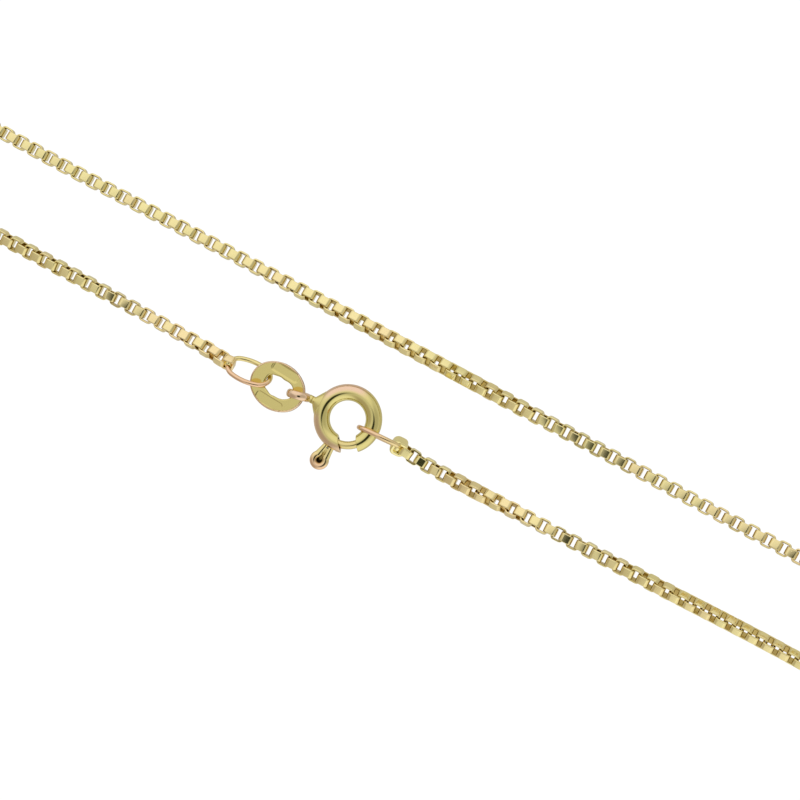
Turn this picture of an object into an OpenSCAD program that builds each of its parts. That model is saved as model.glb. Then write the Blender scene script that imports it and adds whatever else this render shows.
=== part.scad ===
// Box chain necklace with a spring ring clasp, lying closed on a flat surface.
// Millimetres. X runs along the two straight strands, Z is up, the surface is z = 0.
// The origin lies under the middle of the loop.

/* [Box chain] */
// Width of the chain across its flat sides
chain_w = 1.25; // [0.9:0.05:1.6]
// Outer length of one box link along the chain
link_l = 1.1; // [1.0:0.02:1.3]
// Width of the strip that a link is bent from
strip_w = 0.72; // [0.5:0.02:0.85]
// Thickness of the strip
strip_t = 0.17; // [0.1:0.01:0.2]
// Outer corner radius of a link
link_corner_r = 0.32; // [0.22:0.02:0.4]

/* [Jump rings] */
// Wire diameter of both oval rings
ring_wire = 0.43; // [0.3:0.01:0.48]
// Outer length of both oval rings
ring_l = 4.3; // [4.1:0.1:5.5]
// Outer width of both oval rings
ring_w = 2.9; // [2.8:0.05:3.2]

/* [Tag link] */
// Outer length of the tag
tag_l = 5.1; // [4.8:0.05:5.6]
// Outer width of the tag
tag_w = 4.2; // [3.6:0.1:4.8]
// Thickness of the tag
tag_t = 0.42; // [0.3:0.02:0.44]
// Length of the hole
tag_hole_l = 2.95; // [2.9:0.05:3.3]
// Width of the hole
tag_hole_w = 1.7; // [1.6:0.05:1.9]
// Depth of the two sunk panels
tag_panel_depth = 0.04; // [0.02:0.01:0.08]

/* [Spring ring clasp] */
// Outer diameter of the ring
clasp_d = 6.0; // [5.5:0.1:7]
// Diameter of the hollow tube that the ring is bent from
tube_d = 1.43; // [1.3:0.01:1.5]
// Wall of the tube
tube_wall = 0.21; // [0.15:0.01:0.24]
// Width of the opening in the ring
clasp_gap = 1.53; // [1.2:0.01:1.8]
// Diameter of the sliding bolt
bolt_d = 0.7; // [0.5:0.02:0.76]
// Outer diameter of the soldered tail ring
tail_ring_d = 2.2; // [2.16:0.02:2.4]
// Wire diameter of the tail ring
tail_ring_wire = 0.44; // [0.35:0.01:0.46]
// Length of the neck between the clasp and the tail ring
tail_neck_l = 0.65; // [0.4:0.05:1]
// Outer diameter of the thumb loop on the bolt
thumb_d = 1.66; // [1.4:0.02:1.9]
// Wire diameter of the thumb loop
thumb_wire = 0.5; // [0.36:0.02:0.54]

/* [Hidden] */
$fn = 96;

yellow_gold = [0.86, 0.79, 0.5];
rose_gold = [0.88, 0.7, 0.56];

// Clearances between pieces that hold each other
link_gap = 0.06;
hook_gap = 0.2;
tag_gap = 0.07;
slide_gap = 0.06;

// Both oval rings: end radius, and how far the end of a ring bows across the width of a link's strip
ring_end_r = 1.1;
ring_bow = ring_end_r - sqrt(pow(ring_end_r, 2) - pow(strip_w / 2, 2));
ring_half_l = (ring_l - ring_wire) / 2;
ring_half_w = (ring_w - ring_wire) / 2;

// Clasp: its centre, its tube and the direction and offset of its opening
clasp_x = -3.08;
clasp_y = -3.47;
clasp_z = ring_wire + hook_gap + tube_d / 2;
clasp_r = (clasp_d - tube_d) / 2;
bore_r = tube_d / 2 - tube_wall;
gap_turn = -55;
gap_shift = -0.22;
gap_from = gap_turn + asin((gap_shift - clasp_gap / 2) / clasp_r);
gap_to = gap_turn + asin((gap_shift + clasp_gap / 2) / clasp_r);

// Bolt: angles about the clasp's centre, with the bolt closed
bolt_travel = 50;
bolt_tip = gap_to + 9;
thumb_turn = -97;
thumb_r = clasp_d / 2 + 1.33;
thumb_loop_r = (thumb_d - thumb_wire) / 2;
bolt_heel = thumb_turn - 10;
leg_spread_in = 0.2;
leg_spread_out = 0.5;
leg_turn = atan((leg_spread_out + thumb_wire / 2) / (clasp_d / 2));
slot_from = thumb_turn - bolt_travel - leg_turn;
slot_to = thumb_turn + leg_turn;
slot_h = thumb_wire + 2 * slide_gap;

// Tail ring, soldered on edge to the clasp
tail_turn = 12;
tail_ring_r = (tail_ring_d - tail_ring_wire) / 2;
tail_hole_r = tail_ring_d / 2 - tail_ring_wire;
tail_reach = clasp_d / 2 + tail_neck_l + tail_ring_d / 2;
tail_neck_d = 0.5;
tail_flare = 0.45;

// Tag link, carried by the tail ring and sloping down to the ring that holds the chain
tag_turn = -3;
tag_band = (tag_l - tag_hole_l) / 2;
tag_end_in_tail = sqrt(pow(tail_hole_r, 2) - pow(tag_t / 2, 2)) - tag_gap;
tag_ring_lean = -45;
tag_ring_z = ring_wire / 2 + ring_half_w * sin(-tag_ring_lean);
tag_run = tag_l / 2 - tag_end_in_tail + (tag_hole_l + tag_band) / 2;
tag_slope = asin((clasp_z - tag_ring_z) / tag_run);
tag_x = clasp_x - tail_reach + tag_end_in_tail - tag_l / 2 * cos(tag_slope);
tag_y = clasp_y - 0.45;
tag_z = clasp_z - (tag_l / 2 - tag_end_in_tail) * sin(tag_slope);
tag_end_r = tag_w * 0.44;
tag_hole_end_r = tag_hole_w * 0.46;
tag_panel_l = tag_l * 0.5;
tag_panel_w = (tag_w - tag_hole_w) / 2 * 0.58;
tag_panel_y = (tag_w + tag_hole_w) / 4;

// Oval ring through the tag's hole and the left end link, leaning so that it passes over and under the tag
tag_ring_turn = 5;
tag_ring_inset = 0.35;
tag_ring_x = tag_x - tag_hole_l / 2 + tag_ring_inset + ring_wire / 2 - ring_half_l;
tag_ring_y = tag_y - 0.03;

// Oval ring round the clasp's tube, standing on edge
hook_ring_lean = -6;
hook_ring_turn = 3;
hook_ring_inset = 0.12;
hook_ring_x = clasp_x + clasp_d / 2 - tube_d - hook_ring_inset - ring_wire / 2 + ring_half_l;
hook_ring_y = clasp_y - 0.07;
hook_ring_z = ring_w / 2;

// End links of the chain: the right one lies round the standing ring, the left one stands round the leaning ring
right_link_drop = 0.4;
right_link_roll = 18;
right_link_pitch = 20;
right_link_gap = link_gap + 0.1;
right_link_reach = ring_half_l - ring_end_r + sqrt(pow(ring_end_r, 2) - pow(right_link_drop, 2));
right_link_x = hook_ring_x + right_link_reach - ring_wire / 2 - right_link_gap - strip_t + link_l / 2;
right_link_y = hook_ring_y + right_link_reach * sin(hook_ring_turn) - 0.05;
right_link_z = hook_ring_z - right_link_drop;
left_link_roll = tag_ring_lean;
left_link_gap = link_gap + ring_bow;
left_link_x = tag_ring_x - ring_half_l * cos(tag_ring_turn) + ring_wire / 2 + left_link_gap + strip_t - link_l / 2;
left_link_y = tag_ring_y - ring_half_l * sin(tag_ring_turn);
left_link_z = tag_ring_z;

// Route of the chain between the two end links: x, y and the lift above its resting height.
// The straight strands are the ones beside the clasp and behind it, and both ends open out into half circles.
loop_end_x = 98;
loop_end_r = 9;
loop_end_steps = 12;
route_start = [
    right_link_x + link_l / 2 + link_gap,
    right_link_y,
    right_link_z - link_l / 2 * sin(right_link_pitch) - chain_w / 2
];
route_front_right = [
    [4, -3.75, 0.08],
    [6, -3.8, 0],
    [14, -3.7, 0],
    [26, -3.55, 0],
    [41, -3.4, 0],
    [50, -3.75, 0],
    [60, -4.8, 0],
    [70, -6.25, 0],
    [80, -7.7, 0],
    [90, -8.75, 0]
];
route_rear_right = [
    [90, 8.75, 0],
    [80, 7.8, 0],
    [70, 6.6, 0],
    [60, 5.3, 0],
    [50, 4.55, 0],
    [41, 4.35, 0],
    [20, 4.35, 0]
];
route_middle = [0, 4.35, 0];
route_rear_left = [
    [-20, 4.3, 0],
    [-42, 4.25, 0],
    [-50, 4.5, 0],
    [-60, 5.3, 0],
    [-70, 6.6, 0],
    [-80, 7.8, 0],
    [-90, 8.75, 0]
];
route_front_left = [
    [-90, -8.75, 0],
    [-80, -7.75, 0],
    [-70, -6.4, 0],
    [-60, -5.05, 0],
    [-50, -4.15, 0],
    [-38, -3.9, 0],
    [-25, -3.9, 0],
    [-19, -3.95, 0],
    [-17, -3.98, 0.14]
];
route_end = [left_link_x - link_l / 2 - link_gap, left_link_y, left_link_z - chain_w / 2];

// Points of a half circle at one end of the loop
function loop_end(x, from, to) = [
    for (i = [0:loop_end_steps])
    let (a = from + (to - from) * i / loop_end_steps)
    [x + loop_end_r * cos(a), loop_end_r * sin(a), 0]
];

route_right = concat(
    [route_start], route_front_right, loop_end(loop_end_x, -90, 90), route_rear_right, [route_middle]
);
route_left = concat(
    [route_middle], route_rear_left, loop_end(-loop_end_x, 90, 270), route_front_left, [route_end]
);

// Flat sides of the chain's tube and of a ring's wire, and steps along each arc of an oval ring
tube_sides = 8;
wire_sides = 12;
oval_steps = 10;

function unit(v) = v / norm(v);

function tangent(route, i) =
    unit(route[min(i + 1, len(route) - 1)] - route[max(i - 1, 0)]);

// Corners of the tube at one point of a route: chain_w across the flats, resting on the surface
function tube_ring(route, i) =
    let (along = i == 0 || i == len(route) - 1 ? [sign(tangent(route, i)[0]), 0, 0] : tangent(route, i))
    let (side = unit(cross([0, 0, 1], along)))
    let (up = cross(along, side))
    let (corner_r = chain_w / 2 / cos(180 / tube_sides))
    [
        for (k = [0:tube_sides - 1])
        let (a = 360 * (k + 0.5) / tube_sides)
        route[i] + [0, 0, chain_w / 2] + corner_r * (cos(a) * side + sin(a) * up)
    ];

module chain_tube(route) {
    rings = len(route);
    points = [for (i = [0:rings - 1]) each tube_ring(route, i)];
    walls = [
        for (i = [0:rings - 2])
        for (k = [0:tube_sides - 1])
        let (a = i * tube_sides + k)
        let (b = i * tube_sides + (k + 1) % tube_sides)
        each [[a, b, b + tube_sides], [a, b + tube_sides, a + tube_sides]]
    ];
    first_cap = [for (k = [tube_sides - 1:-1:0]) k];
    last_cap = [for (k = [0:tube_sides - 1]) (rings - 1) * tube_sides + k];
    polyhedron(points, concat(walls, [first_cap, last_cap]));
}

// Prism with rounded corners, centred, l along x, w along y
module rounded_prism(l, w, r, h) {
    cube([l, w - 2 * r, h], center = true);
    cube([l - 2 * r, w, h], center = true);
    for (x = [-1, 1])
        for (y = [-1, 1])
            translate([x * (l / 2 - r), y * (w / 2 - r), 0])
                cylinder(r = r, h = h, center = true);
}

// One box link, a strip bent into a rounded rectangle, its opening along z
module box_link() {
    difference() {
        rounded_prism(link_l, chain_w, link_corner_r, strip_w);
        rounded_prism(link_l - 2 * strip_t, chain_w - 2 * strip_t, link_corner_r - strip_t, strip_w * 2);
    }
}

// Radius of the long sides of a four-arc oval with half length a, half width b and end radius r
function side_r(a, b, r) = (b * b + pow(a - r, 2) - r * r) / (2 * (b - r));

// Angle from the long axis at which an end arc meets a side arc
function join_turn(a, b, r) = atan2(side_r(a, b, r) - b, a - r);

// Prism over a four-arc oval, centred, l along x, w along y
module oval_prism(l, w, end_r, h) {
    long_r = side_r(l / 2, w / 2, end_r);
    join_x = l / 2 - end_r + end_r * cos(join_turn(l / 2, w / 2, end_r));
    intersection() {
        translate([0, long_r - w / 2, 0])
            cylinder(r = long_r, h = h, center = true, $fn = 180);
        translate([0, w / 2 - long_r, 0])
            cylinder(r = long_r, h = h, center = true, $fn = 180);
        cube([2 * join_x, w, h], center = true);
    }
    for (x = [-1, 1])
        translate([x * (l / 2 - end_r), 0, 0])
            cylinder(r = end_r, h = h, center = true);
}

// Part of a round wire about z, between two angles
module wire_arc(r, wire, from, to) {
    rotate([0, 0, from])
        rotate_extrude(angle = to - from)
            translate([r, 0])
                circle(d = wire);
}

// Stations round a four-arc oval of half length a, half width b and end radius r: x, y and outward angle
function oval_stations(a, b, r) =
    let (long_r = side_r(a, b, r))
    let (turn = join_turn(a, b, r))
    [
        for (flip = [0, 180])
        each [
            for (i = [0:oval_steps - 1])
            let (t = flip - turn + 2 * turn * i / oval_steps)
            [(a - r) * cos(flip) + r * cos(t), r * sin(t), t],
            for (i = [0:oval_steps - 1])
            let (t = flip + turn + (180 - 2 * turn) * i / oval_steps)
            [long_r * cos(t), (b - long_r) * cos(flip) + long_r * sin(t), t]
        ]
    ];

// Closed wire ring with a four-arc oval outline, outer length l and width w
module oval_ring(l, w, wire, end_r) {
    stations = oval_stations((l - wire) / 2, (w - wire) / 2, end_r);
    points = [
        for (s = stations)
        for (k = [0:wire_sides - 1])
        let (c = 360 * (k + 0.5) / wire_sides)
        let (out = wire / 2 * cos(c))
        [s[0] + out * cos(s[2]), s[1] + out * sin(s[2]), wire / 2 * sin(c)]
    ];
    count = len(points);
    faces = [
        for (i = [0:len(stations) - 1])
        for (k = [0:wire_sides - 1])
        let (a = i * wire_sides + k)
        let (b = i * wire_sides + (k + 1) % wire_sides)
        let (c = (b + wire_sides) % count)
        let (d = (a + wire_sides) % count)
        each [[a, b, c], [a, c, d]]
    ];
    polyhedron(points, faces);
}

module chain_right() {
    color(yellow_gold)
        chain_tube(route_right);
}

module chain_left() {
    color(yellow_gold)
        chain_tube(route_left);
}

module end_link_right() {
    color(yellow_gold)
        translate([right_link_x, right_link_y, right_link_z])
            rotate([right_link_roll, right_link_pitch, 0])
                box_link();
}

module end_link_left() {
    color(yellow_gold)
        translate([left_link_x, left_link_y, left_link_z])
            rotate([90 + left_link_roll, 0, tag_ring_turn])
                box_link();
}

module hook_ring() {
    color(rose_gold)
        translate([hook_ring_x, hook_ring_y, hook_ring_z])
            rotate([90 + hook_ring_lean, 0, hook_ring_turn])
                oval_ring(ring_l, ring_w, ring_wire, ring_end_r);
}

module tag_ring() {
    color(rose_gold)
        translate([tag_ring_x, tag_ring_y, tag_ring_z])
            rotate([tag_ring_lean, 0, tag_ring_turn])
                oval_ring(ring_l, ring_w, ring_wire, ring_end_r);
}

module tag_link() {
    color(yellow_gold)
        translate([tag_x, tag_y, tag_z])
            rotate([0, -tag_slope, tag_turn])
                difference() {
                    oval_prism(tag_l, tag_w, tag_end_r, tag_t);
                    oval_prism(tag_hole_l, tag_hole_w, tag_hole_end_r, tag_t * 2);
                    for (side = [-1, 1])
                        translate([0, side * tag_panel_y, tag_t / 2])
                            rounded_prism(tag_panel_l, tag_panel_w, tag_panel_w * 0.3, 2 * tag_panel_depth);
                }
}

// Neck of the tail: a waist of revolution along -x that flares into the clasp
module tail_neck() {
    waist_x = clasp_d / 2 + tail_neck_l / 2;
    root_x = clasp_r + bore_r / 2;
    rotate([0, -90, 0]) {
        cylinder(d = tail_neck_d, h = tail_reach - tail_ring_r);
        translate([0, 0, root_x])
            cylinder(r1 = tail_neck_d / 2 + tail_flare, r2 = tail_neck_d / 2, h = waist_x - root_x);
    }
}

module tail_ring() {
    rotate([0, 0, 180])
        translate([clasp_d / 2 + tail_neck_l, 0, 0])
            rotate([90, 0, tail_turn])
                translate([tail_ring_d / 2, 0, 0])
                    wire_arc(tail_ring_r, tail_ring_wire, 0, 360);
}

module clasp_body() {
    color(yellow_gold)
        translate([clasp_x, clasp_y, clasp_z])
            difference() {
                union() {
                    wire_arc(clasp_r, tube_d, 0, 360);
                    tail_neck();
                    tail_ring();
                }
                wire_arc(clasp_r, 2 * bore_r, 0, 360);
                rotate([0, 0, gap_turn])
                    translate([bore_r, gap_shift - clasp_gap / 2, -tube_d])
                        cube([clasp_d, clasp_gap, 2 * tube_d]);
                rotate([0, 0, slot_from])
                    rotate_extrude(angle = slot_to - slot_from)
                        translate([clasp_r, -slot_h / 2])
                            square([tube_d, slot_h]);
            }
}

// One leg of the thumb loop, from the bolt's wire out to the loop
module thumb_leg(side) {
    run = thumb_r - clasp_r;
    rise = leg_spread_out - leg_spread_in;
    translate([clasp_r, side * leg_spread_in, 0])
        rotate([0, 90, side * atan(rise / run)])
            cylinder(d = thumb_wire, h = norm([run, rise]));
}

module clasp_bolt() {
    color(rose_gold)
        translate([clasp_x, clasp_y, clasp_z]) {
            wire_arc(clasp_r, bolt_d, bolt_heel, bolt_tip);
            rotate([0, 0, thumb_turn]) {
                thumb_leg(-1);
                thumb_leg(1);
                translate([thumb_r, 0, 0]) {
                    wire_arc(thumb_loop_r, thumb_wire, 0, 360);
                    translate([0, 0, -thumb_wire / 2])
                        cylinder(r = thumb_loop_r, h = thumb_wire / 2);
                }
            }
        }
}

chain_right();
chain_left();
end_link_right();
end_link_left();
hook_ring();
tag_ring();
tag_link();
clasp_body();
clasp_bolt();
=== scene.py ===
"""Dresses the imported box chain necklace: single box links, wire rings, tag, spring ring, gold and light."""

import math

import bpy
import numpy as np
from mathutils import Matrix, Vector


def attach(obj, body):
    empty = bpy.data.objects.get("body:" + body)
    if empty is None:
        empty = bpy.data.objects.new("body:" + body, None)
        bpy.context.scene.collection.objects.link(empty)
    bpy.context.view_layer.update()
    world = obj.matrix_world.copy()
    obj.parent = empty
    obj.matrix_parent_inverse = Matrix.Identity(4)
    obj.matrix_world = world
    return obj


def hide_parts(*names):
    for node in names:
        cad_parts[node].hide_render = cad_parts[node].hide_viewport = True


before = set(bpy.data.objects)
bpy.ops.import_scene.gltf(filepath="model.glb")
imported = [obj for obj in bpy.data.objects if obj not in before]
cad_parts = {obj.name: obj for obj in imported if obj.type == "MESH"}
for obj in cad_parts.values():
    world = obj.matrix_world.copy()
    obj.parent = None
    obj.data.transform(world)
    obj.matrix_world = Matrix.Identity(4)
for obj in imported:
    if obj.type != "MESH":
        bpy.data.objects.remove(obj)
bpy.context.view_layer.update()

# Lengths are in millimetres and angles in degrees, as in the part's source, until a mesh is made
MM = 0.001

# What each point of a surface carries for its colour, as shares from 0 to 1: pink, painted shade with some
# dullness, and painted reflections of the rings in the tag
MARKS = ("rose", "shade_and_dull", "ring_reflection")

# Box links, as in the part's source
CHAIN_W = 1.25
LINK_L = 1.1
STRIP_W = 0.72
STRIP_T = 0.17
LINK_STEPS = 583

# Links as they show in the photo, a little fuller: length, width, strip width, strip thickness,
# corner radius, edge radius and steps round a corner
SHOWN_LINK = (1.17, 1.26, 0.77, 0.19, 0.34, 0.07, 6)
SHOWN_LEFT_END = (1.17, 1.26, 0.77, 0.19, 0.34, 0.08, 12)
SHOWN_RIGHT_END = (1.4, 1.48, 1.05, 0.36, 0.52, 0.16, 12)
SHOWN_RIGHT_END_ROLL = 30
SHOWN_RIGHT_END_SHIFT = np.array([-0.03, 0, 0])
# How far the flat sides of a link and of its strip bow out
SIDE_BOW = 1.5
STRIP_BOW = 2.0
# Spread of a link's play about x, y and z, and of its rosiness, and the seed of both
LINK_PLAY = (1.6, 1.0, 0.9)
ROSE_PLAY = 0.07
PLAY_SEED = 7
# Nodes that the four pieces of the chain stand for, and the links in a piece
CHAIN_NODES = ("chain_right", "chain_right", "chain_left", "chain_left")
LINKS_A_PIECE = 146

# Solder beads: half sizes along the chain, across it and through the link, and place along the link
RIGHT_BEAD = (np.array([0.45, 0.5, 0.58]), -0.15)
LEFT_BEAD = (np.array([0.38, 0.5, 0.47]), 0.06)
BEAD_ROWS = 15
BEAD_COLUMNS = 30
BEAD_END = 80

# Wire rings
RING_WIRE = 0.43
RING_L = 4.3
RING_W = 2.9
RING_END_R = 1.1
RING_ARC_STEPS = 26
WIRE_SIDES = 28

# Tag link
TAG_L = 5.1
TAG_W = 4.2
TAG_T = 0.42
TAG_HOLE_L = 2.95
TAG_HOLE_W = 1.7
TAG_END_R = TAG_W * 0.44
TAG_HOLE_END_R = TAG_HOLE_W * 0.46
TAG_EDGE_R = 0.14
TAG_HOLE_EDGE_R = 0.12
TAG_COLUMNS = 440
OUTLINE_ARC_STEPS = 400
TAG_EDGE_ROWS = 6
TAG_TOP_ROWS = 70
TAG_UNDER_ROWS = 6
# Waves of the hole's edge: share of its reach, count and start, and the share that its left end draws in
HOLE_WAVES = [(0.03, 3, 0.6), (0.02, 7, 2)]
HOLE_LEFT_DRAWN_IN = 0.17
# Sunk panels: length, width and corner radius, and depth and slope's width of the rear and the front one
PANEL_L = TAG_L * 0.5
PANEL_W = (TAG_W - TAG_HOLE_W) / 2 * 0.66
PANEL_CORNER_R = PANEL_W * 0.3
REAR_PANEL = (0.085, 0.17)
FRONT_PANEL = (0.03, 0.06)
# Painted reflections of the rings in the tag's face, where the rings lie on it: their middles, half length
# and half width, turn, and fading edge
TAG_RING_REFLECTIONS = [(-1.84, -0.54), (1.74, 0.74)]
TAG_RING_REFLECTION_HALF = (0.46, 0.25)
TAG_RING_REFLECTION_TURN = 28
TAG_RING_REFLECTION_EDGE = (0.85, 1.15)

# Spring ring
CLASP_D = 6.0
TUBE_D = 1.43
TUBE_WALL = 0.21
TUBE_LIP = 0.045
CLASP_GAP = 1.53
GAP_TURN = -55
GAP_SHIFT = -0.22

# Tail ring and its neck, which runs from the tube over a bend and a waist into the ring
TAIL_RING_D = 2.2
TAIL_RING_WIRE = 0.44
TAIL_RING_BREADTH = 0.72
TAIL_RING_COLUMNS = 72
TAIL_TURN = 12
TAIL_NECK_L = 0.65
NECK_COLUMNS = 56
NECK_ROOT_Y = 1.4
# The flare is shorter on the side where the thumb loop comes to rest when the clasp is open
NECK_ROOT_Y_AT_THUMB = 1.05
NECK_ROOT_Z = 0.6
NECK_ROOT_DEPTH = 0.02
NECK_BEND = (0.08, 0.75, 0.42)
NECK_WAIST = (0.34, 0.34, 0.3)
NECK_END_X = 0.16
NECK_FLARE_ROWS = 17
NECK_STEM_ROWS = 6
# Darker seam round the neck: its place and half width
NECK_SEAM_X = 3.5
NECK_SEAM_HALF = 0.07

# Bolt and thumb loop
BOLT_D = 0.7
BOLT_SIDES = 32
BOLT_ROWS = 90
BOLT_TIP_ROWS = 7
BOLT_TIP_BEND = 84
BOLT_TRAVEL = 50
BOLT_TIP_PAST_GAP = 9
BOLT_HEEL_PAST_THUMB = 10
SLIDE_GAP = 0.06
THUMB_TURN = -97
THUMB_D = 1.66
THUMB_WIRE = 0.5
THUMB_BREADTH = 0.66
THUMB_LOOP_R = (THUMB_D - THUMB_WIRE) / 2 - 0.06
THUMB_LOOP_FROM = 132
THUMB_R = CLASP_D / 2 + 1.33
# Half the space between the legs' middles: at the bolt, just outside the tube, and what the slot allows for
LEG_SPREAD_IN = 0.2
LEG_SPREAD = 0.3
LEG_SPREAD_OUT = 0.5
LEG_SPREAD_X = CLASP_D / 2 + 0.3
LEG_BREADTH = 0.52
# Sunk pocket of the loop: its floor and start, and the web between the legs that rises from it to the tube
POCKET_FLOOR = -0.16
POCKET_MIDDLE_X = THUMB_R + 0.05
POCKET_FROM = 3.72
POCKET_RISE = 0.25
WEB_TOP = 0.22
WEB_END_X = CLASP_D / 2 + 0.1
WEB_END_HALF = 0.2
WEB_START_HALF = 0.12
# The loop's closed underside lies a little above the lowest line of its wire
UNDERSIDE = 0.01 - THUMB_WIRE / 2
THUMB_LOOP_ROWS = 48
LEG_ROWS = 12

# How far the gold is darkened, from clean to blackened. On the links' insides and rounded corners, in the
# tube's bore and in the thumb loop's pocket this is painted shade; on the tag, the neck's seam and the bolt
# it is dull gold
LINK_INSIDE_SHADE = 0.47
LINK_BEND_SHADE = 0.18
LEFT_END_SHADE_SHARE = 0.2
TAG_DULL = 0.08
SEAM_DULL = 0.6
BOLT_DULL = 0.12
BORE_SHADE = 0.95
POCKET_SHADE = 1.0
# How far the wire's side faces into the pocket, and how much painted shade it gets there
POCKET_SIDE_SHADE = ((0.233, 0.9), (0, 1))

# Pink share mixed into the gold's colour. On the clasp's outer side it is painted in bands as pink
# reflections: middle and reach round the clasp, and share
PINK_REFLECTION_BANDS = [(122, 52, 1.0), (232, 42, 0.8), (277, 18, 0.8)]
PINK_REFLECTION_RISE = 0.25
PINK_REFLECTION_EASE = 2.2
LEFT_END_ROSE = 0.45
# Share of pink painted on the tag's rounded outer edge, as a painted pink highlight
TAG_EDGE_PINK_HIGHLIGHT = 0.8
TAIL_RING_ROSE = 0.9
# Places and the shares there: along the hook ring, across the tag ring, and out along the thumb loop, where
# it is a painted pink reflection
HOOK_RING_ROSE = ((-0.5, 1.5), (1, 0))
TAG_RING_ROSE = ((-0.545, 0.318), (0.95, 0))
THUMB_PINK_REFLECTION = ((-0.611, 0.389), (0, 0.9))

# Clearances between pieces that hold each other
LINK_GAP = 0.06
HOOK_GAP = 0.2
TAG_GAP = 0.07

# Places of the pieces, worked out as in the part's source
clasp = np.array([-3.08, -3.47, RING_WIRE + HOOK_GAP + TUBE_D / 2])
clasp_r = (CLASP_D - TUBE_D) / 2
bore_r = TUBE_D / 2 - TUBE_WALL
gap_to = GAP_TURN + math.degrees(math.asin((GAP_SHIFT + CLASP_GAP / 2) / clasp_r))
leg_turn = math.degrees(math.atan((LEG_SPREAD_OUT + THUMB_WIRE / 2) / (CLASP_D / 2)))
slot_from = THUMB_TURN - BOLT_TRAVEL - leg_turn
slot_to = THUMB_TURN + leg_turn
slot_h = THUMB_WIRE + 2 * SLIDE_GAP
tail_ring_r = (TAIL_RING_D - TAIL_RING_WIRE) / 2
tail_hole_r = TAIL_RING_D / 2 - TAIL_RING_WIRE
tail_reach = CLASP_D / 2 + TAIL_NECK_L + TAIL_RING_D / 2

ring_half_l = (RING_L - RING_WIRE) / 2
ring_half_w = (RING_W - RING_WIRE) / 2
ring_bow = RING_END_R - math.sqrt(RING_END_R ** 2 - (STRIP_W / 2) ** 2)

# Turns and leans of the tag and its wire ring, and how far the two lie off the line of their neighbours
TAG_TURN = -3
TAG_OFF_CLASP = 0.45
TAG_RING_LEAN = -45
TAG_RING_TURN = 5
TAG_RING_OFF_HOLE_END = 0.35
TAG_RING_OFF_TAG = 0.03
tag_band = (TAG_L - TAG_HOLE_L) / 2
tag_end_in_tail = math.sqrt(tail_hole_r ** 2 - (TAG_T / 2) ** 2) - TAG_GAP
tag_ring_z = RING_WIRE / 2 + ring_half_w * math.sin(math.radians(-TAG_RING_LEAN))
tag_run = TAG_L / 2 - tag_end_in_tail + (TAG_HOLE_L + tag_band) / 2
tag_slope = math.degrees(math.asin((clasp[2] - tag_ring_z) / tag_run))
tag = np.array([
    clasp[0] - tail_reach + tag_end_in_tail - TAG_L / 2 * math.cos(math.radians(tag_slope)),
    clasp[1] - TAG_OFF_CLASP,
    clasp[2] - (TAG_L / 2 - tag_end_in_tail) * math.sin(math.radians(tag_slope)),
])
tag_ring = np.array([
    tag[0] - TAG_HOLE_L / 2 + TAG_RING_OFF_HOLE_END + RING_WIRE / 2 - ring_half_l,
    tag[1] - TAG_RING_OFF_TAG,
    tag_ring_z,
])

HOOK_RING_LEAN = -6
HOOK_RING_TURN = 3
HOOK_RING_OFF_TUBE = 0.12
HOOK_RING_OFF_CLASP = 0.07
hook_ring = np.array([
    clasp[0] + CLASP_D / 2 - TUBE_D - HOOK_RING_OFF_TUBE - RING_WIRE / 2 + ring_half_l,
    clasp[1] - HOOK_RING_OFF_CLASP,
    RING_W / 2,
])

RIGHT_LINK_DROP = 0.4
RIGHT_LINK_ROLL = 18
RIGHT_LINK_PITCH = 20
RIGHT_LINK_OFF_RING = 0.1
RIGHT_LINK_OFF_LINE = 0.05
right_link_reach = ring_half_l - RING_END_R + math.sqrt(RING_END_R ** 2 - RIGHT_LINK_DROP ** 2)
right_link = np.array([
    hook_ring[0] + right_link_reach - RING_WIRE / 2 - LINK_GAP - RIGHT_LINK_OFF_RING - STRIP_T + LINK_L / 2,
    hook_ring[1] + right_link_reach * math.sin(math.radians(HOOK_RING_TURN)) - RIGHT_LINK_OFF_LINE,
    hook_ring[2] - RIGHT_LINK_DROP,
])
left_turn = math.radians(TAG_RING_TURN)
left_link = tag_ring + np.array([
    RING_WIRE / 2 + LINK_GAP + ring_bow + STRIP_T - LINK_L / 2 - ring_half_l * math.cos(left_turn),
    -ring_half_l * math.sin(left_turn),
    0,
])

# Route of the chain from the right end link round to the left one: x, y and lift above its resting height
LOOP_END_X = 98
LOOP_END_R = 9
LOOP_END_STEPS = 12
ROUTE_STEPS = 60
ROUTE_FRONT_RIGHT = [
    (4, -3.75, 0.08), (6, -3.8, 0), (14, -3.7, 0), (26, -3.55, 0), (41, -3.4, 0),
    (50, -3.75, 0), (60, -4.8, 0), (70, -6.25, 0), (80, -7.7, 0), (90, -8.75, 0),
]
ROUTE_REAR = [
    (90, 8.75, 0), (80, 7.8, 0), (70, 6.6, 0), (60, 5.3, 0), (50, 4.55, 0),
    (41, 4.35, 0), (20, 4.35, 0), (0, 4.35, 0), (-20, 4.3, 0), (-42, 4.25, 0),
    (-50, 4.5, 0), (-60, 5.3, 0), (-70, 6.6, 0), (-80, 7.8, 0), (-90, 8.75, 0),
]
ROUTE_FRONT_LEFT = [
    (-90, -8.75, 0), (-80, -7.75, 0), (-70, -6.4, 0), (-60, -5.05, 0), (-50, -4.15, 0),
    (-38, -3.9, 0), (-25, -3.9, 0), (-19, -3.95, 0), (-17, -3.98, 0.14),
]
# Shift of the links along the route, at shares of its length
LINK_SHIFTS = [(0, 0), (0.12, 0), (0.22, 0.1), (0.78, 0.1), (0.86, -0.2), (0.985, -0.2), (1, 0)]
# Length of route, to each side of a link, that gives the way it points
LINK_AIM = 0.3

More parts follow.
